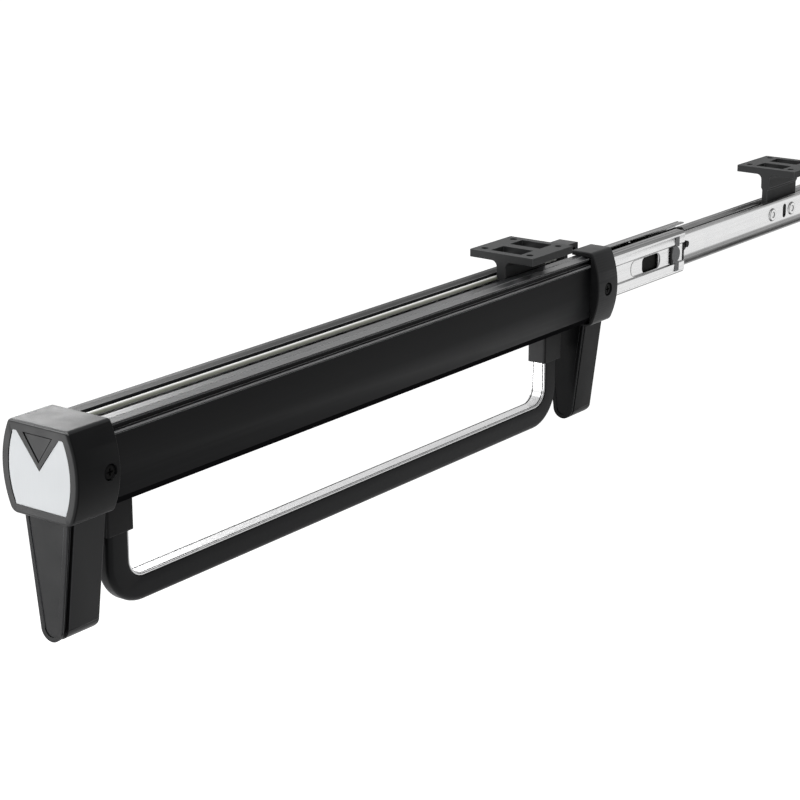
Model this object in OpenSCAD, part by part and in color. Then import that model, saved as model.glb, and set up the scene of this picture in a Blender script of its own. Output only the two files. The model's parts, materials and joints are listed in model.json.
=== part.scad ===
// Pull-out trouser rack for the underside of a wardrobe shelf, drawn out.
// X runs across the rail, +Y points into the wardrobe, +Z up.
// The origin is the middle of the front bracket's hole pattern, on its top face.

/* [Brackets] */
// Width of a bracket plate, across the rail
plate_w = 56; // [52:1:70]
// Length of a bracket plate, along the rail
plate_l = 54; // [52:1:64]
// Thickness of a bracket plate
plate_t = 6; // [4:0.5:7]
// Distance from a plate's edges to its screw holes
bolt_in = 8; // [5:0.5:8]
// Diameter of the screw holes in the plates
bolt_hole_d = 5.5; // [4:0.5:6.5]
// Distance from a plate's sides to its windows
window_side = 14.6; // [12:0.2:18]
// Distance from a plate's ends to its windows
window_end = 5.9; // [5:0.1:9]
// Width of the rib between the two windows
window_rib = 8.2; // [6:0.2:10]
// Thickness of the bracket stem under the plate
stem_w = 7.8; // [6:0.2:9]
// Length of rail behind the rear bracket's middle
rail_tail = 81.2; // [60:0.2:140]

/* [Telescopic slides] */
// Length of the outer and inner members
slide_len = 550; // [500:5:600]
// How much shorter the middle members are
middle_short = 54; // [40:1:70]
// Height of an outer member
outer_h = 45.5; // [44:0.1:56]
// Thickness of one slide, across the rail
slide_t = 12.7; // [12.5:0.1:13]
// Thickness of the slide steel
sheet_t = 1.2; // [1:0.05:1.3]
// Length of outer and inner members left side by side when drawn out
slide_overlap = 115; // [111:1:150]
// Ball diameter between outer and middle members
outer_ball_d = 4.6; // [4.4:0.1:4.8]
// Ball diameter between middle and inner members
inner_ball_d = 3.6; // [3.4:0.1:3.8]
// Balls in each row of a cage
ball_count = 7; // [4:1:10]
// How far the left middle member floats behind the right one
float_gap = 27; // [0:1:30]

/* [Beam] */
// Room behind the outer members, up to the collar's back
slide_room = 35.2; // [30:0.2:60]
// Width of the hollow chambers in the beam's sides
chamber_w = 3.8; // [3:0.1:8]
// Width of the slot between the lips
slot_w = 17.6; // [16:0.2:19]
// Thickness of the lips beside the slot
lip_t = 2.65; // [2:0.05:3]
// Thickness of the beam floor
floor_t = 3.45; // [3:0.05:4]
// Height of the bottom bevel on the beam's sides
bevel_h = 5.4; // [3:0.2:7]

/* [Front cap and rear collar] */
// Thickness of the cap's floor, below the beam
cap_floor = 2; // [1.8:0.1:4]
// Thickness of the cap's sides at their top and bottom edges
cap_side = 1; // [0.8:0.1:3]
// How far the cap's sides bow out at their middle
cap_bow = 7; // [5:0.1:9]
// Depth of the front cap
cap_depth = 36; // [36:1:44]
// Depth of the rear collar
collar_depth = 28; // [24:0.2:30]
// Drop of the cap's top below the bracket face
cap_drop = 12.8; // [12:0.1:16]
// Width of the stem slot in the collar's top
collar_slot_w = 12.4; // [11:0.2:14]
// Depth of the notch in the face plate
notch_h = 21.5; // [18:0.5:28]

/* [Legs] */
// Length of the legs below the cap and collar
leg_len = 78; // [50:1:110]
// Distance from the cap's sides to the top of a leg
leg_in = 6.5; // [4:0.1:10]
// Radius of a leg's rounded end
leg_end_r = 8.5; // [6:0.1:11]
// Width of the shadow gap behind the front leg's cover
front_leg_gap = 4; // [1:0.2:6]
// Width of the shadow gap behind the rear leg's cover
rear_leg_gap = 1.6; // [0.8:0.1:3]

/* [Hanging bar] */
// Width of the bar, across the rail
bar_w = 12.4; // [10:0.2:18]
// Thickness of the bar with its grip strip
bar_t = 18; // [14:0.2:20]
// Distance from the cap face to the bar's front upright
bar_start = 49; // [49:0.5:80]
// Distance from the bar's rear upright to the collar's back
bar_end = 45.5; // [45:0.5:80]
// Depth of the bar below the beam
bar_drop = 75.5; // [60:0.5:110]
// Inside bend radius of the bar
bar_bend_r = 12; // [8:0.5:20]
// Thickness of the bright grip strip
strip_t = 1.5; // [1:0.1:2.5]
// Height of the bar sockets
socket_h = 25.5; // [20:0.5:30]

/* [Hidden] */
$fn = 48;
// Segments of the wide cap curves
wide_fn = 180;

// Overrun of a cut past the face it starts from
cut = 1;
// Clearance between parts that are pushed together
fit_gap = 0.2;
// Clearance around screws and rivets
hole_gap = 0.1;
// Running clearance of a ball in its race
race_gap = 0.1;

// Heights, worked out from the bracket face down
cap_top_z = -cap_drop;
beam_top_drop = 3.6;
beam_top_z = cap_top_z - beam_top_drop;
slide_top_gap = 3.45;
rail_z = beam_top_z - slide_top_gap - outer_h / 2;
beam_floor_z = rail_z - outer_h / 2;
beam_bottom_z = beam_floor_z - floor_t;
cap_bottom_z = beam_bottom_z - cap_floor;
cap_h = cap_top_z - cap_bottom_z;
cap_mid_z = (cap_top_z + cap_bottom_z) / 2;

// Places along the rail, with the carriage drawn out by the whole travel
stem_stop_gap = 4.6;
travel = slide_len - slide_overlap;
cap_face_y = -(cap_depth + stem_stop_gap + travel + plate_l / 2);
cap_wall = 6;
collar_lip = 4;
beam_y = cap_face_y + cap_wall + fit_gap;
carriage_end_y = beam_y + slide_len + slide_room;
collar_y = carriage_end_y - collar_depth;
beam_len = carriage_end_y - collar_lip - fit_gap - beam_y;
bumper_t = 4;
bumper_rest_gap = 0.6;
closed_front_y = beam_y + bumper_t + bumper_rest_gap;
inner_y = closed_front_y + travel;
bracket_pitch = inner_y + slide_len - rail_tail;
middle_len = slide_len - middle_short;
middle_lead = 1.7;
middle_right_y = closed_front_y + middle_lead + travel / 2;
middle_left_y = middle_right_y + float_gap;

// Bracket plates and their stems
bolt_gap_x = plate_w - 2 * bolt_in;
bolt_gap_y = plate_l - 2 * bolt_in;
window_w = plate_w - 2 * window_side;
window_l = (plate_l - window_rib) / 2 - window_end;
stem_clear = 0.3;
neck_taper = 1.8;
stem_fillet_r = 4.5;

// Slide sections, on the right side of the rail
neck_w = 5.4;
neck_gap = 0.6;
inner_back_x = neck_w / 2;
inner_flange_w = 6.2;
inner_tip_x = inner_back_x + inner_flange_w;
outer_face_x = inner_back_x + slide_t;
outer_tip_x = neck_w / 2 + neck_gap;
cage_space = 1.3;
middle_face_x = outer_face_x - sheet_t - cage_space;
middle_tip_x = inner_back_x + sheet_t;
outer_bend_r = 2.5;
middle_bend_r = 3.5;
inner_bend_r = 3.4;
outer_bite = 0.35;
inner_bite = 0.325;
middle_h = outer_h - 2 * (sheet_t + outer_ball_d - 2 * outer_bite);
inner_h = middle_h - 2 * (sheet_t + inner_ball_d - 2 * inner_bite);
recess_h = 15.8;
recess_t = 1;
recess_slope = 0.8;
outer_race_share = 0.52;
inner_race_share = 0.69;
outer_race_h = (outer_h / 2 - sheet_t + middle_h / 2) / 2;
inner_race_h = (middle_h / 2 - sheet_t + inner_h / 2) / 2;
outer_race_x = middle_tip_x + outer_race_share * (middle_face_x - middle_tip_x);
inner_race_x = inner_back_x + inner_race_share * inner_flange_w;

// Ball cages
cage_len = 210;
outer_cage_lead = 70;
inner_cage_lead = 28;
outer_cage_y = middle_right_y + outer_cage_lead;
inner_cage_y = inner_y + inner_cage_lead;
outer_cage_t = 1;
inner_cage_t = 0.8;
cage_web_t = 0.5;
cage_gap = 0.4;
cage_hole_gap = 0.15;
outer_cage_x = outer_face_x - sheet_t - cage_gap;
inner_cage_x = inner_tip_x + cage_gap + cage_web_t;
outer_strip_w = 9.4;
inner_strip_w = 5.2;

// Details of the middle and inner members
web_hole_l = 25.6;
web_hole_h = 12.6;
web_hole_r = 4;
web_hole_back = 40.4;
dish_l = 46;
dish_h = 13.4;
dish_depth = 0.35;
dish_back = 38;
stop_slot_w = 6;
stop_slot_h = 12.3;
stop_slot_lead = 4.8;
rivet_d = 5;
rivet_head_d = 12;
rivet_head_t = 1.2;
rivet_bevel = 1.5;
rivet_dimple_d = 5;
rivet_dimple = 0.5;
rivet_in = 9;
rivet_reach = plate_l / 2 - rivet_in;
stop_back = 17;
stop_l = 4.4;
stop_nose_r = 6.4;
stop_proud = 0.5;
stop_tab_l = 6.4;
stop_tab_in = 1.2;
stop_tab_h = 8;
stop_tab_lap = 1;
stop_tab_z = recess_h / 2 - recess_slope - stop_tab_lap + stop_tab_h / 2;
stop_strip_l = 2.4;
lever_past = 15.6;
lever_rise = 2.3;
lever_head_d = 5.4;
lever_t = 2.2;
lever_head_t = 0.5;
lever_arm_l = 7;
lever_arm_w = 3.2;
lever_body_l = 30;
lever_body_h = 9;

// Screws of the outer members
web_screw_d = 3.5;
web_screw_head_d = 7;
web_screw_l = 4.4;
web_screw_shares = [0.06, 0.5, 0.94];
bumper_h = 34;

// Beam section
chamber_wall = 1.8;
side_wall = 2;
beam_w = 2 * (outer_face_x + chamber_wall + chamber_w + side_wall);
chamber_drop = 8.4;
chamber_rise = 3.55;
lip_line_out = 0.2;
lip_line_x = outer_face_x + lip_line_out;
lip_line_d = 0.3;
edge_in = 1.6;
edge_drop = 1.05;
edge_h = 0.95;
rebate_in = 3.1;
rebate_drop = 3;
rebate_h = 2.9;
ledge_in = 0.6;
ledge_drop = 6.3;
side_drop = 6.9;
side_line_d = 0.3;
side_line_drop = 7.4;
bevel_w = 4;

// Cap, collar and their side screws
cap_end_w = beam_w + 2 * cap_side;
cap_belly_w = cap_end_w + 2 * cap_bow;
cap_edge_r = 2;
collar_edge_r = 1;
cap_screw_back = 8.4;
side_screw_d = 3.5;
side_screw_head_d = 9.4;
side_screw_head_t = 2.2;
side_screw_recess_d = 10.5;
side_screw_recess = 3;
side_screw_bite = 3.5;
side_screw_l = cap_belly_w / 2 - side_screw_recess - beam_w / 2 + side_screw_bite;
cross_l = 4.6;
cross_w = 1;
cross_depth = 1.2;
face_t = 1.2;
face_sink = 0.4;
face_corner_r = 1.4;
face_rim = 5.8;
face_top_rim = 6;
face_bottom_rim = 6;
face_h = cap_h - face_top_rim - face_bottom_rim;
notch_w = 34;
dent_w = 24.2;
dent_h = 17.2;
dent_depth = 0.5;

// Legs and their screws
leg_top_w = cap_end_w - 2 * leg_in;
front_cover_set = 4;
rear_cover_set = 0.8;
cover_t = 2;
leg_core_in = 3;
cover_rim = 3;
cover_dent = 0.6;
leg_round_r = 5;
leg_screw_d = 3;
leg_screw_head_d = 5.6;
leg_screw_l = 16;
leg_screw_pitch = 9;

// Sockets, their screws and the hanging bar
socket_wall = 1.5;
socket_end_wall = 2.8;
socket_roof = 2.5;
socket_r = 2.2;
socket_bevel = 0.8;
socket_screw_d = 4;
socket_screw_head_d = 8;
socket_screw_l = 18;
bar_outer_r = 4;
bar_inner_r = 1.2;
strip_in = 0.4;
strip_line_in = 1.5;
strip_line_d = 0.4;
front_upright_y = cap_face_y + bar_start + bar_t / 2;
rear_upright_y = carriage_end_y - bar_end - bar_t / 2;
bar_top_z = beam_bottom_z - socket_roof - fit_gap;
bar_run_z = beam_bottom_z - bar_drop + bar_t;

// A rectangle between two corners
module rect(x0, x1, y0, y1) {
  translate([x0, y0]) square([x1 - x0, y1 - y0]);
}

// A rectangle with round corners, about its middle
module round_rect(w, h, r) {
  square([w - 2 * r, h], center = true);
  square([w, h - 2 * r], center = true);
  for (x = [-1, 1], y = [-1, 1])
    translate([x * (w / 2 - r), y * (h / 2 - r)]) circle(r = r);
}

// The left half of an outline, from its right half
function mirrored(points) = [for (i = [len(points) - 1 : -1 : 0]) [-points[i][0], points[i][1]]];

// A section in X and Z, run along the rail from y0
module along(y0, length) {
  translate([0, y0 + length, 0]) rotate([90, 0, 0]) linear_extrude(length) children();
}

// An outline in Y and Z, run across the rail from x0 to x1
module across(x0, x1) {
  translate([x0, 0, 0]) rotate([90, 0, 90]) linear_extrude(x1 - x0) children();
}

// A round bar across the rail, from x0 to x1
module rod(x0, x1, d) {
  translate([x0, 0, 0]) rotate([0, 90, 0]) cylinder(h = x1 - x0, d = d);
}

// The right-hand shape, or its mirror image
module side(left) {
  if (left) mirror([1, 0, 0]) children();
  else children();
}

module both_sides() {
  children();
  mirror([1, 0, 0]) children();
}

// A countersunk screw, pointing down from its flat head, or the hole for it
module sunk_screw(d, head_d, length, gap = 0) {
  head_t = (head_d - d) / 2;
  translate([0, 0, -length]) cylinder(h = length, d = d + 2 * gap);
  translate([0, 0, -head_t]) cylinder(h = head_t, d1 = d + 2 * gap, d2 = head_d + 2 * gap);
  if (gap > 0) cylinder(h = cut, d = head_d + 2 * gap);
}

// A pan-head screw with a cross, pointing down, with its seat at zero
module pan_screw(d, head_d, head_t, length) {
  difference() {
    union() {
      translate([0, 0, -length]) cylinder(h = length, d = d);
      rotate_extrude() {
        rect(0, head_d / 2 - head_t / 2, 0, head_t);
        rect(0, head_d / 2, 0, head_t / 2);
        translate([head_d / 2 - head_t / 2, head_t / 2]) circle(r = head_t / 2);
      }
    }
    for (a = [0, 90])
      rotate([0, 0, a]) translate([0, 0, head_t - cross_depth / 2 + cut / 2])
        cube([cross_l, cross_w, cross_depth + cut], center = true);
  }
}

// Brackets

// Right half of the bracket's section, down from the plate's top
module bracket_section() {
  neck_z = rail_z + outer_h / 2 + stem_clear;
  half = [
    [plate_w / 2, 0],
    [plate_w / 2, -plate_t],
    [stem_w / 2 + stem_fillet_r, -plate_t],
    [stem_w / 2, -plate_t - stem_fillet_r],
    [stem_w / 2, neck_z + neck_taper],
    [neck_w / 2, neck_z],
    [neck_w / 2, rail_z - inner_h / 2]
  ];
  difference() {
    polygon(concat(half, mirrored(half)));
    both_sides() translate([stem_w / 2 + stem_fillet_r, -plate_t - stem_fillet_r])
      circle(r = stem_fillet_r);
  }
}

module bracket(y) {
  difference() {
    along(y - plate_l / 2, plate_l) bracket_section();
    for (sx = [-1, 1], sy = [-1, 1])
      translate([sx * bolt_gap_x / 2, y + sy * bolt_gap_y / 2, -plate_t - cut])
        cylinder(h = plate_t + 2 * cut, d = bolt_hole_d);
    for (s = [-1, 1])
      translate([-window_w / 2, y + s * (window_rib + window_l) / 2 - window_l / 2, -plate_t])
        cube([window_w, window_l, plate_t + cut]);
    for (s = [-1, 1])
      translate([0, y + s * rivet_reach, rail_z]) rod(-stem_w, stem_w, rivet_d + 2 * hole_gap);
  }
}
module front_bracket() {
  color("#4c4f51") bracket(0);
}
module rear_bracket() {
  color("#4c4f51") bracket(bracket_pitch);
}
module bracket_rivets() {
  seat_x = inner_back_x + sheet_t;
  color("#c3c7c9") for (y = [0, bracket_pitch], s = [-1, 1])
    translate([0, y + s * rivet_reach, rail_z]) {
      rod(-seat_x, seat_x, rivet_d);
      both_sides() translate([seat_x, 0, 0]) rotate([0, 90, 0]) difference() {
        cylinder(h = rivet_head_t, d1 = rivet_head_d, d2 = rivet_head_d - rivet_bevel);
        translate([0, 0, rivet_head_t - rivet_dimple])
          cylinder(h = rivet_dimple + cut, d = rivet_dimple_d);
      }
    }
}

// Slides

// A channel of folded sheet, its web at back and its flanges ending at tip
module channel(back, tip, h, r) {
  way = sign(tip - back);
  difference() {
    channel_fill(back, tip, h, r);
    channel_fill(back + way * sheet_t, tip + way * cut, h - 2 * sheet_t, r - sheet_t);
  }
}
module channel_fill(back, tip, h, r) {
  bend = back + sign(tip - back) * r;
  translate([min(bend, tip), rail_z - h / 2]) square([abs(tip - bend), h]);
  translate([min(back, tip), rail_z - h / 2 + r]) square([abs(tip - back), h - 2 * r]);
  for (s = [-1, 1])
    translate([bend, rail_z + s * (h / 2 - r)]) circle(r = r);
}
// Race grooves above and below the rail's middle
module races(x, h, ball_d) {
  for (s = [-1, 1])
    translate([x, rail_z + s * h]) circle(d = ball_d + 2 * race_gap);
}
// The long pressed recess of a middle member, its face at x
module recess(x, reach) {
  polygon([
    [x + reach, rail_z + recess_h / 2], [x, rail_z + recess_h / 2],
    [x - recess_t, rail_z + recess_h / 2 - recess_slope],
    [x - recess_t, rail_z - recess_h / 2 + recess_slope],
    [x, rail_z - recess_h / 2], [x + reach, rail_z - recess_h / 2]
  ]);
}

module inner_member(left) {
  side(left) difference() {
    along(inner_y, slide_len) difference() {
      channel(inner_back_x, inner_tip_x, inner_h, inner_bend_r);
      races(inner_race_x, inner_race_h, inner_ball_d);
    }
    for (y = [0, bracket_pitch], s = [-1, 1])
      translate([0, y + s * rivet_reach, rail_z])
        rod(0, inner_tip_x, rivet_d + 2 * hole_gap);
    translate([0, bracket_pitch + stop_slot_lead, rail_z]) across(0, inner_tip_x)
      round_rect(stop_slot_w, stop_slot_h, stop_slot_w / 2 - hole_gap);
  }
}
module inner_member_left() {
  color("#d9dcde") inner_member(true);
}
module inner_member_right() {
  color("#d9dcde") inner_member(false);
}

// The lever on an inner member that lets go of the middle member
module release_lever(left) {
  head_y = middle_right_y + middle_len + lever_past;
  seat_x = inner_back_x + sheet_t;
  side(left) translate([0, head_y, rail_z]) {
    translate([0, 0, lever_rise]) rod(seat_x, seat_x + lever_t + lever_head_t, lever_head_d);
    across(seat_x, seat_x + lever_t) polygon([
      [0, lever_rise + lever_arm_w / 2],
      [0, lever_rise - lever_arm_w / 2],
      [-lever_arm_l, -lever_body_h / 2],
      [-lever_arm_l - lever_body_l, -lever_body_h / 2],
      [-lever_arm_l - lever_body_l, lever_body_h / 2],
      [-lever_arm_l - lever_arm_w, lever_body_h / 2],
      [-lever_arm_l, lever_body_h / 2 - lever_rise]
    ]);
  }
}
module release_lever_left() {
  color("#1d1f20") release_lever(true);
}
module release_lever_right() {
  color("#1d1f20") release_lever(false);
}

module middle_member(left, y) {
  hole_y = y + middle_len - web_hole_back - web_hole_l / 2;
  dish_y = y + middle_len - dish_back - dish_l / 2;
  side(left) difference() {
    along(y, middle_len) difference() {
      union() {
        channel(middle_face_x, middle_tip_x, middle_h, middle_bend_r);
        recess(middle_face_x - sheet_t, sheet_t / 2);
      }
      recess(middle_face_x, cut);
      races(inner_race_x, inner_race_h, inner_ball_d);
      races(outer_race_x, outer_race_h, outer_ball_d);
    }
    translate([0, dish_y, rail_z])
      across(middle_face_x - recess_t - dish_depth, middle_face_x)
        round_rect(dish_l, dish_h, dish_h / 2 - hole_gap);
    translate([0, hole_y, rail_z]) across(inner_tip_x, middle_face_x)
      round_rect(web_hole_l, web_hole_h, web_hole_r);
  }
}
module middle_member_left() {
  color("#e4e6e7") middle_member(true, middle_left_y);
}
module middle_member_right() {
  color("#e4e6e7") middle_member(false, middle_right_y);
}

// The plastic stop at the back of a middle member
module middle_stop(left, y) {
  front_y = y + middle_len - stop_back;
  tab_y = front_y + stop_tab_in;
  floor_x = middle_face_x - recess_t;
  core_h = recess_h - 2 * recess_slope;
  side(left) {
    translate([0, 0, rail_z]) across(floor_x, middle_face_x + stop_proud) {
      rect(front_y - stop_strip_l, front_y + stop_l / 2, -core_h / 2, core_h / 2);
      translate([front_y + stop_l / 2, 0]) circle(r = stop_nose_r);
    }
    for (s = [-1, 1]) translate([0, 0, rail_z + s * stop_tab_z])
      across(middle_face_x, middle_face_x + stop_proud)
        rect(tab_y, tab_y + stop_tab_l, -stop_tab_h / 2, stop_tab_h / 2);
  }
}
module middle_stop_left() {
  color("#6d7072") middle_stop(true, middle_left_y);
}
module middle_stop_right() {
  color("#6d7072") middle_stop(false, middle_right_y);
}

// Ball cages, with a web and two strips of punched holes
function ball_y(y0, i) = y0 + cage_len * (i + 0.5) / ball_count;

module cage(left, y0, web_x, strip_w, strip_t, race_x, race_h, ball_d) {
  side(left) difference() {
    along(y0, cage_len) {
      rect(web_x - cage_web_t, web_x, rail_z - race_h, rail_z + race_h);
      for (s = [-1, 1])
        rect(web_x - strip_w, web_x,
          rail_z + s * race_h - strip_t / 2, rail_z + s * race_h + strip_t / 2);
    }
    for (i = [0 : ball_count - 1], s = [-1, 1])
      translate([race_x, ball_y(y0, i), rail_z + s * race_h])
        cylinder(h = strip_t + 2 * cut, d = ball_d + 2 * cage_hole_gap, center = true);
  }
}
module balls(y0, race_x, race_h, ball_d) {
  for (i = [0 : ball_count - 1], s = [-1, 1])
    both_sides() translate([race_x, ball_y(y0, i), rail_z + s * race_h]) sphere(d = ball_d);
}
module inner_cage(left) {
  cage(left, inner_cage_y, inner_cage_x, inner_strip_w, inner_cage_t,
    inner_race_x, inner_race_h, inner_ball_d);
}
module outer_cage(left) {
  cage(left, outer_cage_y, outer_cage_x, outer_strip_w, outer_cage_t,
    outer_race_x, outer_race_h, outer_ball_d);
}
module inner_cage_left() {
  color("#8f8a6e") inner_cage(true);
}
module inner_cage_right() {
  color("#8f8a6e") inner_cage(false);
}
module inner_balls() {
  color("#eceeef") balls(inner_cage_y, inner_race_x, inner_race_h, inner_ball_d);
}
module outer_cage_left() {
  color("#8f8a6e") outer_cage(true);
}
module outer_cage_right() {
  color("#8f8a6e") outer_cage(false);
}
module outer_balls() {
  color("#eceeef") balls(outer_cage_y, outer_race_x, outer_race_h, outer_ball_d);
}

// Screws through the webs of the outer members, or their holes
module web_screws(gap = 0) {
  for (share = web_screw_shares)
    both_sides()
      translate([outer_face_x - sheet_t, beam_y + share * slide_len, rail_z])
        rotate([0, -90, 0]) sunk_screw(web_screw_d, web_screw_head_d, web_screw_l, gap);
}
module outer_member(left) {
  difference() {
    side(left) along(beam_y, slide_len) difference() {
      channel(outer_face_x, outer_tip_x, outer_h, outer_bend_r);
      races(outer_race_x, outer_race_h, outer_ball_d);
    }
    web_screws(hole_gap);
  }
}
module outer_member_left() {
  color("#d3d6d8") outer_member(true);
}
module outer_member_right() {
  color("#d3d6d8") outer_member(false);
}
module outer_member_screws() {
  color("#b4b8ba") web_screws();
}
module closing_bumpers() {
  color("#26282a") both_sides() along(beam_y, bumper_t)
    rect(middle_tip_x, outer_face_x - sheet_t,
      rail_z - bumper_h / 2, rail_z + bumper_h / 2);
}

// Beam

// Right half of the beam's outline, from the slot down to the floor
half_w = beam_w / 2;
lip_points = [
  [slot_w / 2, beam_top_z],
  [lip_line_x - lip_line_d, beam_top_z],
  [lip_line_x, beam_top_z - lip_line_d],
  [half_w - edge_in, beam_top_z - edge_drop],
  [half_w - edge_in, beam_top_z - edge_drop - edge_h],
  [half_w - rebate_in, beam_top_z - rebate_drop],
  [half_w - rebate_in, beam_top_z - rebate_drop - rebate_h],
  [half_w - ledge_in, beam_top_z - ledge_drop],
  [half_w, beam_top_z - side_drop]
];
wall_points = [
  [half_w, beam_top_z - side_line_drop],
  [half_w - side_line_d, beam_top_z - side_line_drop],
  [half_w - side_line_d, beam_top_z - side_line_drop - side_line_d],
  [half_w, beam_top_z - side_line_drop - side_line_d],
  [half_w, beam_bottom_z + bevel_h],
  [half_w - bevel_w, beam_bottom_z]
];
room_points = [
  [outer_face_x, beam_floor_z],
  [outer_face_x, beam_top_z - lip_t],
  [slot_w / 2, beam_top_z - lip_t]
];
module beam_section() {
  outside = concat(lip_points, wall_points);
  difference() {
    polygon(concat(outside, mirrored(outside), mirrored(room_points), room_points));
    both_sides() rect(outer_face_x + chamber_wall, beam_w / 2 - side_wall,
      beam_floor_z + chamber_rise, beam_top_z - chamber_drop);
  }
}
// Side screws of the cap and collar: places of their heads
side_screw_seat_x = cap_belly_w / 2 - side_screw_recess;
cap_screw_y = cap_face_y + cap_depth - cap_screw_back;
collar_screw_y = collar_y + collar_depth / 2;

module side_screw_holes(y) {
  both_sides() translate([0, y, rail_z]) {
    rod(side_screw_seat_x - side_screw_l - hole_gap, cap_belly_w / 2 + cut,
      side_screw_d + 2 * hole_gap);
    rod(side_screw_seat_x, cap_belly_w / 2 + cut, side_screw_recess_d);
  }
}
module socket_screw_set(gap = 0) {
  for (y = [front_upright_y, rear_upright_y])
    translate([0, y, beam_floor_z - hole_gap])
      sunk_screw(socket_screw_d, socket_screw_head_d, socket_screw_l, gap);
}
module beam() {
  color("#2f3234") difference() {
    along(beam_y, beam_len) beam_section();
    for (y = [cap_screw_y, collar_screw_y]) side_screw_holes(y);
    web_screws(hole_gap);
    socket_screw_set(hole_gap);
  }
}

// Cap and collar

// The barrel outline's side curve, from its rise over half the height
bow_r = (cap_h * cap_h / 4 + cap_bow * cap_bow) / (2 * cap_bow);
bow_x = bow_r - cap_belly_w / 2;

// A slice of the cap's barrel, its front and back edges rounded
module barrel(y0, depth, front_r, back_r) {
  intersection() {
    both_bows(y0, depth, front_r, back_r);
    mirror([1, 0, 0]) both_bows(y0, depth, front_r, back_r);
    translate([0, y0, cap_mid_z]) across(-cap_belly_w, cap_belly_w)
      edge_profile(-cap_h / 2, cap_h / 2, depth, front_r, back_r);
  }
}
module both_bows(y0, depth, front_r, back_r) {
  translate([-bow_x, y0, cap_mid_z]) rotate([-90, 0, 0])
    rotate_extrude($fn = wide_fn) intersection() {
      mirror([1, -1]) edge_profile(-bow_r, bow_r, depth, front_r, back_r);
      rect(0, bow_r + cut, -cut, depth + cut);
    }
}
// A depth by height outline with rounded corners
module edge_profile(low, high, depth, front_r, back_r) {
  rect(front_r, depth - back_r, low, high);
  rect(0, front_r, low + front_r, high - front_r);
  rect(depth - back_r, depth, low + back_r, high - back_r);
  for (z = [low + front_r, high - front_r]) translate([front_r, z]) circle(r = front_r);
  for (z = [low + back_r, high - back_r]) translate([depth - back_r, z]) circle(r = back_r);
}
// Room for the beam's end inside the cap or the collar
module beam_room() {
  rect(-beam_w / 2 - fit_gap, beam_w / 2 + fit_gap,
    beam_bottom_z - fit_gap, beam_top_z + fit_gap);
}
module face_outline() {
  face_top_z = cap_top_z - face_top_rim;
  offset(r = face_corner_r) offset(delta = -face_corner_r) difference() {
    intersection() {
      translate([-bow_x, cap_mid_z]) circle(r = bow_r - face_rim, $fn = wide_fn);
      translate([bow_x, cap_mid_z]) circle(r = bow_r - face_rim, $fn = wide_fn);
      rect(-cap_belly_w, cap_belly_w, face_top_z - face_h, face_top_z);
    }
    polygon([
      [-notch_w / 2, face_top_z + cut], [-notch_w / 2, face_top_z],
      [0, face_top_z - notch_h],
      [notch_w / 2, face_top_z], [notch_w / 2, face_top_z + cut]
    ]);
  }
}
module dent_outline() {
  face_top_z = cap_top_z - face_top_rim;
  polygon([[-dent_w / 2, face_top_z], [0, face_top_z - dent_h], [dent_w / 2, face_top_z]]);
}
module leg_screw_set(gap = 0) {
  head_z = beam_bottom_z - fit_gap;
  for (leg_y = [front_block_mid_y, rear_block_mid_y], s = [-1, 1])
    translate([0, leg_y + s * leg_screw_pitch / 2, head_z])
      sunk_screw(leg_screw_d, leg_screw_head_d, leg_screw_l, gap);
}
module front_cap() {
  color("#3a3d3f") difference() {
    barrel(cap_face_y, cap_depth, cap_edge_r, collar_edge_r);
    along(cap_face_y + cap_wall, cap_depth) beam_room();
    along(cap_face_y - cut, cut + face_sink + face_t) face_outline();
    along(cap_face_y - cut, cut + dent_depth) dent_outline();
    side_screw_holes(cap_screw_y);
    leg_screw_set(hole_gap);
  }
}
module face_plate() {
  color("#dfe3e5") along(cap_face_y + face_sink, face_t) face_outline();
}
module side_screws(y) {
  both_sides() translate([side_screw_seat_x, y, rail_z]) rotate([0, 90, 0])
    pan_screw(side_screw_d, side_screw_head_d, side_screw_head_t, side_screw_l);
}
module cap_screws() {
  color("#2b2d2f") side_screws(cap_screw_y);
}
module collar_screws() {
  color("#2b2d2f") side_screws(collar_screw_y);
}
module rear_collar() {
  color("#34373a") difference() {
    barrel(collar_y, collar_depth, collar_edge_r, collar_edge_r);
    along(collar_y - cut, collar_depth - collar_lip + cut) beam_room();
    along(collar_y - cut, collar_depth + 2 * cut) {
      rect(-outer_face_x, outer_face_x, beam_floor_z, beam_top_z - lip_t);
      rect(-collar_slot_w / 2, collar_slot_w / 2, beam_top_z - lip_t - cut, cap_top_z + cut);
    }
    side_screw_holes(collar_screw_y);
    leg_screw_set(hole_gap);
  }
}

// Legs

leg_tip_z = cap_bottom_z - leg_len;
front_cover_y = cap_face_y + front_cover_set;
rear_cover_y = collar_y + rear_cover_set;
front_block_y = front_cover_y + cover_t + front_leg_gap;
rear_block_y = rear_cover_y + cover_t + rear_leg_gap;
front_block_mid_y = (front_block_y + cap_face_y + cap_depth) / 2;
rear_block_mid_y = (rear_block_y + carriage_end_y) / 2;

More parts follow.
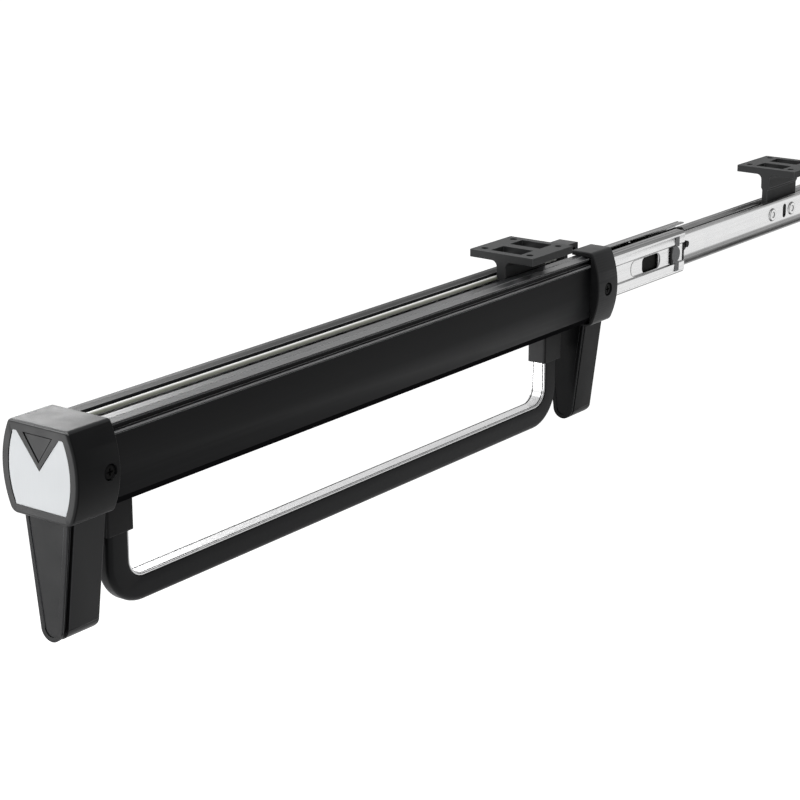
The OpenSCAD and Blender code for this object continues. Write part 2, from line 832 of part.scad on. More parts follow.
// A tapered tongue with a round end, drawn in from the leg's own outline
leg_arc_steps = 32;
module leg_outline(inset) {
  top_half_w = leg_top_w / 2 - inset;
  r = leg_end_r - inset;
  rise = leg_len - leg_end_r;
  start = atan2(rise, top_half_w) - acos(r / norm([top_half_w, rise]));
  sweep = 180 + 2 * start;
  translate([0, leg_tip_z + leg_end_r]) polygon(concat(
    [[-top_half_w, rise], [top_half_w, rise]],
    [for (i = [0 : leg_arc_steps])
      let (a = start - sweep * i / leg_arc_steps) [r * cos(a), r * sin(a)]]
  ));
}
module leg(cover_y, block_y, end_y) {
  difference() {
    union() {
      along(cover_y + cover_t, end_y - cover_y - cover_t - leg_round_r) leg_outline(leg_core_in);
      intersection() {
        along(block_y, end_y - block_y) leg_outline(0);
        across(-leg_top_w, leg_top_w) {
          rect(block_y, end_y - leg_round_r, leg_tip_z, cap_bottom_z);
          rect(block_y, end_y, leg_tip_z + leg_round_r, cap_bottom_z);
          translate([end_y - leg_round_r, leg_tip_z + leg_round_r]) circle(r = leg_round_r);
        }
      }
    }
    leg_screw_set(hole_gap);
  }
}
module leg_cover(cover_y) {
  difference() {
    along(cover_y, cover_t) leg_outline(0);
    along(cover_y - cut, cut + cover_dent) leg_outline(cover_rim);
  }
}
module front_leg() {
  color("#34373a") leg(front_cover_y, front_block_y, cap_face_y + cap_depth);
}
module front_leg_cover() {
  color("#44474a") leg_cover(front_cover_y);
}
module rear_leg() {
  color("#34373a") leg(rear_cover_y, rear_block_y, carriage_end_y);
}
module rear_leg_cover() {
  color("#44474a") leg_cover(rear_cover_y);
}
module leg_screws() {
  color("#b4b8ba") leg_screw_set();
}

// Hanging bar and its sockets

module bar_socket(y) {
  room_w = bar_w + 2 * fit_gap;
  room_l = bar_t + 2 * fit_gap;
  difference() {
    translate([0, y, beam_bottom_z - socket_h]) linear_extrude(socket_h)
      round_rect(room_w + 2 * socket_wall, room_l + 2 * socket_end_wall, socket_r);
    translate([-room_w / 2, y - room_l / 2, beam_bottom_z - socket_h - cut])
      cube([room_w, room_l, socket_h - socket_roof + cut]);
    socket_screw_set(hole_gap);
  }
}
module front_bar_socket() {
  color("#202224") bar_socket(front_upright_y);
}
module rear_bar_socket() {
  color("#202224") bar_socket(rear_upright_y);
}
module socket_screws() {
  color("#b4b8ba") socket_screw_set();
}
// Carries a section around the U of the bar: the section's first axis points
// outward from the bar's inner face, its second across the rail
module u_sweep() {
  front_y = front_upright_y + bar_t / 2;
  rear_y = rear_upright_y - bar_t / 2;
  bend_z = bar_run_z + bar_bend_r;
  rotate([90, 0, 90]) {
    translate([rear_y, bar_top_z, 0]) rotate([90, 0, 0])
      linear_extrude(bar_top_z - bend_z) children();
    translate([front_y, bar_top_z, 0]) mirror([1, 0, 0]) rotate([90, 0, 0])
      linear_extrude(bar_top_z - bend_z) children();
    translate([rear_y - bar_bend_r, bar_run_z, 0]) rotate([0, 0, -90]) rotate([90, 0, 0])
      linear_extrude(rear_y - front_y - 2 * bar_bend_r) children();
    translate([rear_y - bar_bend_r, bend_z, 0]) rotate([0, 0, -90])
      rotate_extrude(angle = 90, $fn = wide_fn) translate([bar_bend_r, 0]) children();
    translate([front_y + bar_bend_r, bend_z, 0]) rotate([0, 0, 180])
      rotate_extrude(angle = 90, $fn = wide_fn) translate([bar_bend_r, 0]) children();
  }
}
module bar_section() {
  half_w = bar_w / 2;
  rect(strip_t, strip_t + bar_inner_r, -half_w + bar_inner_r, half_w - bar_inner_r);
  rect(strip_t + bar_inner_r, bar_t - bar_outer_r, -half_w, half_w);
  rect(bar_t - bar_outer_r, bar_t, -half_w + bar_outer_r, half_w - bar_outer_r);
  for (s = [-1, 1]) {
    translate([strip_t + bar_inner_r, s * (half_w - bar_inner_r)]) circle(r = bar_inner_r);
    translate([bar_t - bar_outer_r, s * (half_w - bar_outer_r)]) circle(r = bar_outer_r);
  }
}
module strip_section() {
  half_w = bar_w / 2 - strip_in;
  difference() {
    rect(0, strip_t, -half_w, half_w);
    for (s = [-1, 1])
      translate([0, s * (half_w - strip_line_in)])
        square([2 * strip_line_d, strip_line_d], center = true);
  }
}
module hanging_bar() {
  color("#2c2f31") difference() {
    u_sweep() bar_section();
    socket_screw_set(hole_gap);
  }
}
module bar_strip() {
  color("#eceeee") u_sweep() strip_section();
}

front_bracket();
rear_bracket();
bracket_rivets();
inner_member_left();
inner_member_right();
release_lever_left();
release_lever_right();
middle_member_left();
middle_member_right();
middle_stop_left();
middle_stop_right();
inner_cage_left();
inner_cage_right();
inner_balls();
outer_cage_left();
outer_cage_right();
outer_balls();
outer_member_left();
outer_member_right();
outer_member_screws();
closing_bumpers();
beam();
front_cap();
face_plate();
cap_screws();
front_leg();
front_leg_cover();
rear_collar();
collar_screws();
rear_leg();
rear_leg_cover();
leg_screws();
front_bar_socket();
rear_bar_socket();
socket_screws();
hanging_bar();
bar_strip();
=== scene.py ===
import json
import math

import bmesh
import bpy
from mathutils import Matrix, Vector


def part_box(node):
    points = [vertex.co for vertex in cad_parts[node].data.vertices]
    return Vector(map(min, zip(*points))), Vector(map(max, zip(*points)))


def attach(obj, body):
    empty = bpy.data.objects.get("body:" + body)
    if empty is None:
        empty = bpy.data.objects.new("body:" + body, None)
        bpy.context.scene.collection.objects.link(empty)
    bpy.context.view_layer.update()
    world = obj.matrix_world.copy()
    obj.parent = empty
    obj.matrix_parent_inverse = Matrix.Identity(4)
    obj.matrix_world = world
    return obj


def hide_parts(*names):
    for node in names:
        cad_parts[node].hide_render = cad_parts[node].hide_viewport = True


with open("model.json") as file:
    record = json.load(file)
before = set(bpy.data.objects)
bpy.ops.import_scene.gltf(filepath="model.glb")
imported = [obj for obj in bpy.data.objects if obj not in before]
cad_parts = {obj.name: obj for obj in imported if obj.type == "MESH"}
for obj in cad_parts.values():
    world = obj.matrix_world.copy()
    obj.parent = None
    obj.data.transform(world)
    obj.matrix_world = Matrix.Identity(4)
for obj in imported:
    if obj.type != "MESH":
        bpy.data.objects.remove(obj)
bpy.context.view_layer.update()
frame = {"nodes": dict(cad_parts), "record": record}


# node tree helpers

def shaderNode(tree, kind, inputs=None, **settings):
    made = tree.nodes.new(kind)
    for key, value in settings.items():
        setattr(made, key, value)
    for key, value in (inputs or {}).items():
        if isinstance(value, bpy.types.NodeSocket):
            tree.links.new(value, made.inputs[key])
        else:
            made.inputs[key].default_value = value
    return made


def newFinish(name):
    finish = bpy.data.materials.new(name)
    finish.use_nodes = True
    tree = finish.node_tree
    return finish, tree, tree.nodes["Principled BSDF"]


def onObject(tree, stretch=(1, 1, 1)):  # texture space fixed to the object, in metres
    place = shaderNode(tree, "ShaderNodeTexCoord")
    scaled = shaderNode(tree, "ShaderNodeMapping", {"Vector": place.outputs["Object"], "Scale": stretch})
    return scaled.outputs["Vector"]


def noise(tree, vector, scale, detail=4.0, rough=0.55):
    inputs = {"Vector": vector, "Scale": scale, "Detail": detail, "Roughness": rough}
    return shaderNode(tree, "ShaderNodeTexNoise", inputs).outputs["Fac"]


def remap(tree, value, low, high, toLow, toHigh):
    inputs = {"Value": value, "From Min": low, "From Max": high, "To Min": toLow, "To Max": toHigh}
    return shaderNode(tree, "ShaderNodeMapRange", inputs).outputs["Result"]


def mixColor(tree, factor, first, second):
    made = shaderNode(tree, "ShaderNodeMix", {0: factor, 6: first, 7: second}, data_type="RGBA")
    return made.outputs[2]  # sockets 6, 7 and 2 are the colour ones


def combine(tree, operation, first, second):
    made = shaderNode(tree, "ShaderNodeMath", {0: first, 1: second}, operation=operation)
    return made.outputs[0]


def bumpOf(tree, height, depth, strength=1.0, under=None):
    inputs = {"Height": height, "Distance": depth, "Strength": strength}
    if under is not None:
        inputs["Normal"] = under
    return shaderNode(tree, "ShaderNodeBump", inputs).outputs["Normal"]


def rgba(color, times=1.0):
    return tuple(min(1.0, c * times) for c in color) + (1.0,)


# finishes

textureLook = {
    "markScale": 55.0,          # handling marks on moulded plastic, per metre
    "coatCloudScale": 40.0,     # slow shading of the powder coat, per metre
    "grainBand": (0.3, 0.7),    # the part of a noise that carries its contrast
    "shadeBand": (0.35, 0.7),
    "coatShadeBand": (0.35, 0.65),
    "coatRoughBand": (0.7, 1.3),
    "roughJitter": 0.03,
    "edgeWearAndLightLift": 0.004,
    "wornSmoothest": 0.12,
}


def mouldedPlastic(name, look):  # fine spark-eroded grain with faint handling marks
    finish, tree, shader = newFinish(name)
    space = onObject(tree)
    grain = noise(tree, space, 1 / look["grainSize"], detail=3.0, rough=0.6)
    marks = noise(tree, space, textureLook["markScale"], detail=5.0, rough=0.6)
    shading = remap(tree, marks, *textureLook["shadeBand"], 0.0, 1.0)
    shade = mixColor(tree, shading, rgba(look["color"]), rgba(look["color"], look["shadeSpread"]))
    tree.links.new(shade, shader.inputs["Base Color"])
    band, jitter = textureLook["grainBand"], textureLook["roughJitter"]
    smoothest, roughest = look["roughness"] - look["roughSpread"], look["roughness"] + look["roughSpread"]
    rough = combine(tree, "ADD", remap(tree, marks, *band, smoothest, roughest),
                    remap(tree, grain, *band, -jitter, jitter))
    tree.links.new(rough, shader.inputs["Roughness"])
    tree.links.new(bumpOf(tree, grain, look["grainDepth"]), shader.inputs["Normal"])
    shader.inputs["Specular IOR Level"].default_value = look["specular"]
    return finish


def powderCoat(name, look):  # orange-peel skin over fine pores
    finish, tree, shader = newFinish(name)
    space = onObject(tree)
    peel = noise(tree, space, 1 / look["peelSize"], detail=2.0, rough=0.5)
    pores = shaderNode(tree, "ShaderNodeTexVoronoi", {"Vector": space, "Scale": 1 / look["poreSize"]}).outputs["Distance"]
    cloud = noise(tree, space, textureLook["coatCloudScale"])
    shading = remap(tree, cloud, *textureLook["coatShadeBand"], 0.0, 1.0)
    shade = mixColor(tree, shading, rgba(look["color"]), rgba(look["color"], look["shadeSpread"]))
    tree.links.new(shade, shader.inputs["Base Color"])
    smoothest, roughest = look["roughness"] - look["roughSpread"], look["roughness"] + look["roughSpread"]
    rough = remap(tree, combine(tree, "ADD", peel, cloud), *textureLook["coatRoughBand"], smoothest, roughest)
    tree.links.new(rough, shader.inputs["Roughness"])
    fine = bumpOf(tree, pores, look["poreDepth"])
    tree.links.new(bumpOf(tree, peel, look["peelDepth"], under=fine), shader.inputs["Normal"])
    shader.inputs["Specular IOR Level"].default_value = look["specular"]
    return finish


def drawnMetal(name, look):  # streaks along one direction, over slow cloudy tarnish
    finish, tree, shader = newFinish(name)
    streaks = noise(tree, onObject(tree, look["streaks"]), 1.0, detail=6.0, rough=0.65)
    cloud = noise(tree, onObject(tree), look["cloudScale"])
    band, jitter = textureLook["grainBand"], textureLook["roughJitter"]
    shading = remap(tree, streaks, *band, 0.0, 1.0)
    shade = mixColor(tree, shading, rgba(look["color"], look["shadeSpread"]), rgba(look["color"]))
    shade = mixColor(tree, remap(tree, cloud, *band, 0.0, look["tarnish"]), shade, rgba(look["tarnishColor"]))
    if "paintedShade" in look:  # painted shade: the colour fades to a duller one away from a middle line, the same on both sides
        paintedShade = look["paintedShade"]
        place = shaderNode(tree, "ShaderNodeSeparateXYZ", {"Vector": onObject(tree)}).outputs[paintedShade["axis"]]
        bothSides = combine(tree, "ABSOLUTE", place, 0.0)
        away = combine(tree, "ABSOLUTE", combine(tree, "SUBTRACT", bothSides, paintedShade["middle"]), 0.0)
        shade = mixColor(tree, remap(tree, away, paintedShade["from"], paintedShade["to"], 0.0, 1.0), shade, rgba(paintedShade["color"]))
    tree.links.new(shade, shader.inputs["Base Color"])
    smoothest, roughest = look["roughness"] - look["roughSpread"], look["roughness"] + look["roughSpread"]
    rough = combine(tree, "ADD", remap(tree, streaks, *band, roughest, smoothest),
                    remap(tree, cloud, *band, -jitter, jitter))
    tree.links.new(rough, shader.inputs["Roughness"])
    tree.links.new(bumpOf(tree, streaks, look["streakDepth"]), shader.inputs["Normal"])
    shader.inputs["Metallic"].default_value = look["metallic"]
    shader.inputs["Specular IOR Level"].default_value = look["specular"]
    return finish


def edgeWearAndLight(look, lighter=1.6, smoother=0.1):  # the same finish on an edge: lighter is wear plus a painted highlight, below one darker is painted shade
    edge = dict(look)
    edge["color"] = tuple(min(1.0, c * lighter + textureLook["edgeWearAndLightLift"]) for c in look["color"])
    edge["roughness"] = max(textureLook["wornSmoothest"], look["roughness"] - smoother)
    return edge


# pieces with rounded edges, made from the frame's own shapes

meshRules = {
    "weld": 0.000002,
    "flatAngle": 0.5,       # degrees
    "sharpAngle": 32.0,     # degrees
    "shortestEdge": 0.0008,
}


def everySharpEdge(line):
    return 1.0


def roundedPiece(node, body, slot, finishes, look, steps=2, weigh=everySharpEdge, finishOf=None, cutsAlong=(),
                 reshape=None):  # the last finish goes on the rounded edges
    source = frame["nodes"][node]
    piece = bpy.data.objects.new(node + "_finished", source.data.copy())
    bpy.context.scene.collection.objects.link(piece)
    piece.data.materials.clear()
    for finish in finishes:
        piece.data.materials.append(finish)
    mesh = bmesh.new()
    mesh.from_mesh(piece.data)
    bmesh.ops.remove_doubles(mesh, verts=mesh.verts, dist=meshRules["weld"])
    bmesh.ops.dissolve_limit(mesh, angle_limit=math.radians(meshRules["flatAngle"]), verts=mesh.verts, edges=mesh.edges)
    for place in cutsAlong:  # splits faces where the finish changes along the rail
        everything = mesh.verts[:] + mesh.edges[:] + mesh.faces[:]
        bmesh.ops.bisect_plane(mesh, geom=everything, plane_co=(0, place, 0), plane_no=(0, 1, 0))
    if reshape:
        reshape(mesh)
    weights = mesh.edges.layers.float.new("bevel_weight_edge")
    sharp = math.radians(meshRules["sharpAngle"])
    for face in mesh.faces:
        face.smooth = True
        face.material_index = finishOf(face) if finishOf else 0
    for line in mesh.edges:
        line.smooth = line.calc_face_angle(0.0) < sharp
        if not line.smooth and line.calc_length() > look.get("shortestEdge", meshRules["shortestEdge"]):
            line[weights] = weigh(line)
    mesh.normal_update()
    mesh.to_mesh(piece.data)
    mesh.free()
    rounding = piece.modifiers.new("edgeRounding", "BEVEL")
    rounding.width = look["edgeRound"]
    rounding.segments = steps
    rounding.limit_method = "WEIGHT"
    rounding.use_clamp_overlap = False
    rounding.harden_normals = True
    rounding.material = len(finishes) - 1
    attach(piece, body)
    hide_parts(node)


bodyOf = {node: body for body, nodes in frame["record"]["behaviour"]["bodies"].items() for node in nodes}


def roundedPieces(nodes, slot, finishes, look, **options):
    for node in nodes:
        roundedPiece(node, bodyOf[node], slot, finishes, look, **options)


def paint(nodes, finish):  # a frame part whose shape is already right only gets its finish
    for node in nodes:
        data = frame["nodes"][node].data
        data.materials.clear()
        data.materials.append(finish)


def addedPiece(name, mesh, finish, body):  # fine relief that the frame has no node for
    data = bpy.data.meshes.new(name)
    mesh.to_mesh(data)
    mesh.free()
    piece = bpy.data.objects.new(name, data)
    bpy.context.scene.collection.objects.link(piece)
    data.materials.append(finish)
    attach(piece, body)


# brackets under the shelf

bracketLook = {
    "color": (0.022, 0.0225, 0.023),
    "shadeSpread": 1.25,
    "roughness": 0.55,
    "roughSpread": 0.06,
    "specular": 0.155,
    "peelSize": 0.0011,
    "peelDepth": 0.00003,
    "poreSize": 0.00035,
    "poreDepth": 0.000008,
    "edgeRound": 0.0004,
}

bracketCoat = powderCoat("bracketCoat", bracketLook)
# the bracket's edges: wear plus a painted highlight
bracketEdge = powderCoat("bracketEdge", edgeWearAndLight(bracketLook, 2.6))
roundedPieces(["front_bracket", "rear_bracket"], "bracket_coat", [bracketCoat, bracketEdge], bracketLook)

rivetLook = {
    "color": (0.80, 0.80, 0.80),
    "shadeSpread": 0.86,
    "metallic": 1.0,
    "roughness": 0.26,
    "roughSpread": 0.05,
    "specular": 0.5,
    "streaks": (1500, 1500, 1500),
    "streakDepth": 0.000004,
    "cloudScale": 260.0,
    "tarnish": 0.25,
    "tarnishColor": (0.55, 0.55, 0.56),
    "edgeRound": 0.0004,
    "shortestEdge": 0.0001,
}
rivetSteel = drawnMetal("rivetSteel", rivetLook)
# painted shade: the rivet heads' rounded rims get a dark copy of the steel
rivetRim = drawnMetal("rivetRim", edgeWearAndLight(rivetLook, 0.2, -0.1))
roundedPieces(["bracket_rivets"], "rivet_steel", [rivetSteel, rivetRim], rivetLook)
print("brackets and rivets done")


# slides

slideLook = {
    "color": (0.765, 0.765, 0.765),
    "shadeSpread": 0.90,
    "metallic": 1.0,
    "roughness": 0.27,
    "roughSpread": 0.06,
    "specular": 0.5,
    "streaks": (900, 7, 900),
    "streakDepth": 0.000006,
    "cloudScale": 60.0,
    "tarnish": 0.22,
    "tarnishColor": (0.66, 0.67, 0.69),
    "edgeRound": 0.0002,
    "shortestEdge": 0.0025,
}
flangeLook = dict(slideLook)
flangeLook.update({
    # a darker copy of the zinc: painted shade on the flanges and bent corners
    "color": (0.29, 0.29, 0.29),
    "shadeSpread": 0.10,    # rolling marks, dark lines along the flanges
    "roughness": 0.34,
    "streaks": (1500, 5, 1500),
    "streakDepth": 0.00002,
    "tarnish": 0.5,
    "tarnishColor": (0.14, 0.14, 0.14),
})
# painted shade: the inner web darkens towards its bent top and bottom corners
innerWebLook = dict(slideLook, paintedShade={"axis": "Z", "middle": 0.0418, "from": 0.0081, "to": 0.0093,
                                      "color": (0.29, 0.29, 0.29)})
# painted highlight and shade: the up-facing race gets a lighter, less metallic copy of the zinc that darkens away from
# a line 7.7 mm out from the middle plane
raceLitAndShadedLook = dict(slideLook, color=(0.97, 0.97, 0.95), metallic=0.1, roughness=0.36, streakDepth=0.000001, tarnish=0.03,
                paintedShade={"axis": "X", "middle": 0.0077, "from": 0.0016, "to": 0.0034, "color": (0.17, 0.178, 0.14)})
# painted shade: near-black finish for the inner member's stretch inside the middle member and for the inner cages
innerShadeLook = {
    "color": (0.006, 0.006, 0.0055),
    "shadeSpread": 1.8,
    "roughness": 0.45,
    "roughSpread": 0.12,
    "specular": 0.03,
    "grainSize": 0.0012,
    "grainDepth": 0.00004,
}
slideZinc = drawnMetal("slideZinc", slideLook)
innerZinc = drawnMetal("innerZinc", innerWebLook)
raceLitAndShaded = drawnMetal("raceLitAndShaded", raceLitAndShadedLook)
slideFlange = drawnMetal("slideFlange", flangeLook)
# painted shade: a dark copy of the zinc for rounded edges, pressing walls and the pressed rims
slideEdge = drawnMetal("slideEdge", edgeWearAndLight(slideLook, 0.35, 0.0))
innerShade = mouldedPlastic("innerShade", innerShadeLook)

slideRules = {
    "webFacing": 0.9,           # how squarely a face looks sideways to count as web
    "railMiddle": -0.0426,      # height of the slides' middle line
    "pressedHalf": 0.0075,      # the pressings' half height
    "pressedOut": 0.0100,       # from the rack's middle plane
    "shadeShort": 0.0015,      # from the middle member's end
    "raceFacing": 0.5,
    "raceShortestEdge": 0.03,
}


def webOrFlange(face):  # the flat webs stay bright; the bent corners and flanges get the darker copy, painted shade, with rolling marks
    return 0 if abs(face.normal.x) > slideRules["webFacing"] else 1


def middleFinish(face):  # painted shade: the pressed and punched walls get the dark edge copy of the zinc
    spot = face.calc_center_median()
    inBand = abs(spot.z - slideRules["railMiddle"]) < slideRules["pressedHalf"] and abs(spot.x) > slideRules["pressedOut"]
    return 2 if abs(face.normal.x) < slideRules["webFacing"] and inBand else webOrFlange(face)


for sideName in ("left", "right"):
    middle = "middle_member_" + sideName
    inner = "inner_member_" + sideName
    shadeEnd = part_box(middle)[1].y - slideRules["shadeShort"]

    def innerFinish(face, end=shadeEnd):  # painted shade: the stretch inside the middle member is dark
        return 2 if face.calc_center_median().y < end else webOrFlange(face)

    roundedPiece(middle, bodyOf[middle], "slide_zinc", [slideZinc, slideFlange, slideEdge], slideLook, steps=1,
                 finishOf=middleFinish)
    roundedPiece(inner, bodyOf[inner], "slide_zinc", [innerZinc, slideFlange, innerShade, slideEdge], slideLook, steps=1,
                 finishOf=innerFinish, cutsAlong=[shadeEnd])
# the up-facing race faces and the rolled race get the painted highlight and shade finish
roundedPieces(["outer_member_left", "outer_member_right"], "slide_zinc", [slideZinc, raceLitAndShaded, slideEdge],
              dict(slideLook, shortestEdge=slideRules["raceShortestEdge"]), steps=1,
              finishOf=lambda face: 1 if face.normal.z > slideRules["raceFacing"] else 0)

rollLook = {
    "inner": 0.0035,
    "outer": 0.0087,
    "rise": 0.0019,
    "facets": 12,
    "lap": 0.00005,
    "roundBelow": 0.6,      # radians
}


def raceRoll(name, side, look):  # the rolled race that shows through the beam's slot
    low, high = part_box("outer_member_left")
    middle = (look["inner"] + look["outer"]) / 2
    half = (look["outer"] - look["inner"]) / 2
    mesh = bmesh.new()
    ends = []
    for y in (low.y, high.y):
        turns = [math.pi * k / look["facets"] for k in range(look["facets"] + 1)]
        ends.append([mesh.verts.new((side * (middle + half * math.cos(turn)), y,
                                     high.z - look["lap"] + look["rise"] * math.sin(turn))) for turn in turns])
    for k in range(look["facets"]):
        mesh.faces.new((ends[0][k], ends[0][k + 1], ends[1][k + 1], ends[1][k])).smooth = True
    mesh.faces.new((ends[0][0], ends[1][0], ends[1][-1], ends[0][-1]))
    mesh.faces.new(ends[0][::-1])
    mesh.faces.new(ends[1])
    bmesh.ops.recalc_face_normals(mesh, faces=mesh.faces[:])
    for line in mesh.edges:
        line.smooth = line.calc_face_angle(0.0) < look["roundBelow"]
    addedPiece(name, mesh, raceLitAndShaded, "carriage")


raceRoll("outer_member_roll_left", -1, rollLook)
raceRoll("outer_member_roll_right", 1, rollLook)

cageLook = {
    "color": (0.62, 0.61, 0.58),
    "shadeSpread": 0.85,
    "metallic": 1.0,
    "roughness": 0.34,
    "roughSpread": 0.06,
    "specular": 0.5,
    "streaks": (700, 9, 700),
    "streakDepth": 0.000005,
    "cloudScale": 90.0,
    "tarnish": 0.3,
    "tarnishColor": (0.46, 0.45, 0.42),
}
paint(["outer_cage_left", "outer_cage_right"], drawnMetal("cageSteel", cageLook))
paint(["inner_cage_left", "inner_cage_right"], innerShade)  # painted shade: the inner cages, between the members, get the near-black finish

ballLook = {
    "color": (0.90, 0.90, 0.91),
    "shadeSpread": 0.96,
    "metallic": 1.0,
    "roughness": 0.13,
    "roughSpread": 0.02,
    "specular": 0.5,
    "streaks": (400, 400, 400),
    "streakDepth": 0.000001,
    "cloudScale": 200.0,
    "tarnish": 0.1,
    "tarnishColor": (0.7, 0.66, 0.58),
}
paint(["inner_balls", "outer_balls"], drawnMetal("ballSteel", ballLook))

leverLook = {
    "color": (0.010, 0.010, 0.0105),
    "shadeSpread": 1.3,
    "roughness": 0.42,
    "roughSpread": 0.05,
    "specular": 0.08,
    "grainSize": 0.0004,
    "grainDepth": 0.00001,
    "edgeRound": 0.0003,
}
leverPlastic = mouldedPlastic("leverPlastic", leverLook)
leverEdge = mouldedPlastic("leverEdge", edgeWearAndLight(leverLook))
roundedPieces(["release_lever_left", "release_lever_right"], "lever_plastic", [leverPlastic, leverEdge], leverLook)

stopLook = {
    "color": (0.13, 0.133, 0.137),
    "shadeSpread": 1.15,
    "roughness": 0.44,
    "roughSpread": 0.05,
    "specular": 0.4,
    "grainSize": 0.0004,
    "grainDepth": 0.00001,
    "edgeRound": 0.0003,
}
stopPlastic = mouldedPlastic("stopPlastic", stopLook)
stopEdge = mouldedPlastic("stopEdge", edgeWearAndLight(stopLook, 1.25))
roundedPieces(["middle_stop_left", "middle_stop_right"], "stop_plastic", [stopPlastic, stopEdge], stopLook)

rimLook = {
    "length": 0.0460,
    "height": 0.0134,
    "cornerRadius": 0.0060,
    "fromEnd": 0.0610,      # middle of the pressing, from the member's far end
    "width": 0.0005,
    "rise": 0.00028,
    "crestShares": (0.3, 0.7),
    "turns": 8,
}


def pressedRim(name, sideName, side, look):  # raised rim round the long pressing in the middle member's web, dark with painted shade
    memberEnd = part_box("middle_member_" + sideName)[1].y
    nose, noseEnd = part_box("middle_stop_" + sideName)
    floorX = min(abs(nose.x), abs(noseEnd.x))
    centerY, centerZ = memberEnd - look["fromEnd"], (nose.z + noseEnd.z) / 2
    across, up = look["length"] / 2 - look["cornerRadius"], look["height"] / 2 - look["cornerRadius"]
    crests = [(look["width"] * share, look["rise"]) for share in look["crestShares"]]
    mesh = bmesh.new()
    rings = []
    for inset, lift in [(0.0, 0.0)] + crests + [(look["width"], 0.0)]:
        radius = look["cornerRadius"] - inset
        ring = []
        for corner, (signY, signZ) in enumerate(((1, 1), (-1, 1), (-1, -1), (1, -1))):
            for k in range(look["turns"] + 1):
                angle = math.pi / 2 * (corner + k / look["turns"])
                ring.append(mesh.verts.new((side * (floorX + lift), centerY + signY * across + radius * math.cos(angle),
                                            centerZ + signZ * up + radius * math.sin(angle))))
        rings.append(ring)
    for inner, outer in zip(rings, rings[1:] + rings[:1]):
        for k in range(len(inner)):
            after = (k + 1) % len(inner)
            mesh.faces.new((inner[k], inner[after], outer[after], outer[k])).smooth = True
    bmesh.ops.recalc_face_normals(mesh, faces=mesh.faces[:])
    addedPiece(name, mesh, slideEdge, "middle_stage")


pressedRim("middle_member_rim_left", "left", -1, rimLook)
pressedRim("middle_member_rim_right", "right", 1, rimLook)

shadowStripLook = {
    "halfHeight": 0.0070,
    "frontWidth": 0.0021,
    "beforeNose": 0.0015,
    "rearWidth": 0.0018,
    "rearThick": 0.0005,
    "rearLift": 0.00001,
    "roundShare": 0.3,      # of the strip's least side
}


def shadowStrip(name, low, high, look):  # narrow dark strip across the pressed recess: painted shadow of the gap there
    mesh = bmesh.new()
    bmesh.ops.create_cube(mesh, size=1.0)
    for point in mesh.verts:
        point.co = Vector((low[i] + (point.co[i] + 0.5) * (high[i] - low[i]) for i in range(3)))
    least = min(b - a for a, b in zip(low, high))
    bmesh.ops.bevel(mesh, geom=mesh.edges[:], offset=least * look["roundShare"], segments=2, affect="EDGES", profile=0.5)
    addedPiece(name, mesh, leverPlastic, "middle_stage")


def stopStrips(sideName, side, look):  # painted shadow: one dark strip before the stop's nose and a thin one at the member's end
    nose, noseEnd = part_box("middle_stop_" + sideName)
    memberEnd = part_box("middle_member_" + sideName)[1].y
    railZ = (nose.z + noseEnd.z) / 2
    near, far = sorted((abs(nose.x), abs(noseEnd.x)))
    frontY = nose.y - look["beforeNose"]
    frontX = sorted((side * near, side * far))
    shadowStrip("middle_stop_front_strip_" + sideName, (frontX[0], frontY, railZ - look["halfHeight"]),
                (frontX[1], frontY + look["frontWidth"], railZ + look["halfHeight"]), look)
    rearX = sorted((side * (near + look["rearLift"]), side * (near + look["rearThick"])))
    rearY = memberEnd - look["rearWidth"]
    shadowStrip("middle_stop_rear_strip_" + sideName, (rearX[0], rearY, railZ - look["halfHeight"]),
                (rearX[1], memberEnd, railZ + look["halfHeight"]), look)


stopStrips("left", -1, shadowStripLook)
stopStrips("right", 1, shadowStripLook)
print("slides, cages, balls and stops done")


# beam

beamLook = {
    "color": (0.008, 0.0083, 0.009),
    "shadeSpread": 1.35,
    "metallic": 0.0,
    "roughness": 0.40,
    "roughSpread": 0.05,
    "specular": 0.07,
    "streaks": (450, 2.2, 450),
    "streakDepth": 0.000009,
    "cloudScale": 12.0,
    "tarnish": 0.3,
    "tarnishColor": (0.014, 0.0143, 0.0155),
    "edgeRound": 0.00022,
    "shortestEdge": 0.03,
    "lipFacing": 0.995,         # how squarely a face looks up to count as the lip's flat
    "slopeFacing": 0.45,
    "underFacing": -0.2,
    "highlitAbove": -0.025,
}
# painted shade: the beam's sides darken towards the top
beamBlack = drawnMetal("beamBlack", dict(beamLook, color=(0.019, 0.0193, 0.020), specular=0.055,
                                         paintedShade={"axis": "Z", "middle": 0.0688, "from": 0.002, "to": 0.044,
                                                "color": (0.0035, 0.0036, 0.004)}))
beamLip = drawnMetal("beamLip", dict(beamLook, specular=0.26, roughness=0.32))
beamSlope = drawnMetal("beamSlope", dict(beamLook, specular=0.95, roughness=0.30))
# painted shade: the faces that look down get a darker copy
beamUnder = drawnMetal("beamUnder", dict(beamLook, specular=0.0, roughness=0.7, color=(0.006, 0.006, 0.0065)))
# painted highlight: bright finish for the rounded edges near the top
beamEdge = drawnMetal("beamEdge", dict(beamLook, color=(0.22, 0.223, 0.227), specular=0.5, roughness=0.3))


def beamFinish(face):  # satin near lip; dull underside in a darker copy with painted shade
    if face.normal.z > beamLook["slopeFacing"] and face.calc_center_median().x > 0:
        return 1 if face.normal.z > beamLook["lipFacing"] else 3
    return 2 if face.normal.z < beamLook["underFacing"] else 0


def topLines(line):  # painted highlight: only the lines near the top get the bright edge finish
    return 1.0 if line.verts[0].co.z > beamLook["highlitAbove"] else 0.0


roundedPieces(["beam"], "beam_black", [beamBlack, beamLip, beamUnder, beamSlope, beamEdge], beamLook, steps=1,
              finishOf=beamFinish, weigh=topLines)
print("beam done")


# front cap, rear collar, legs and face plate

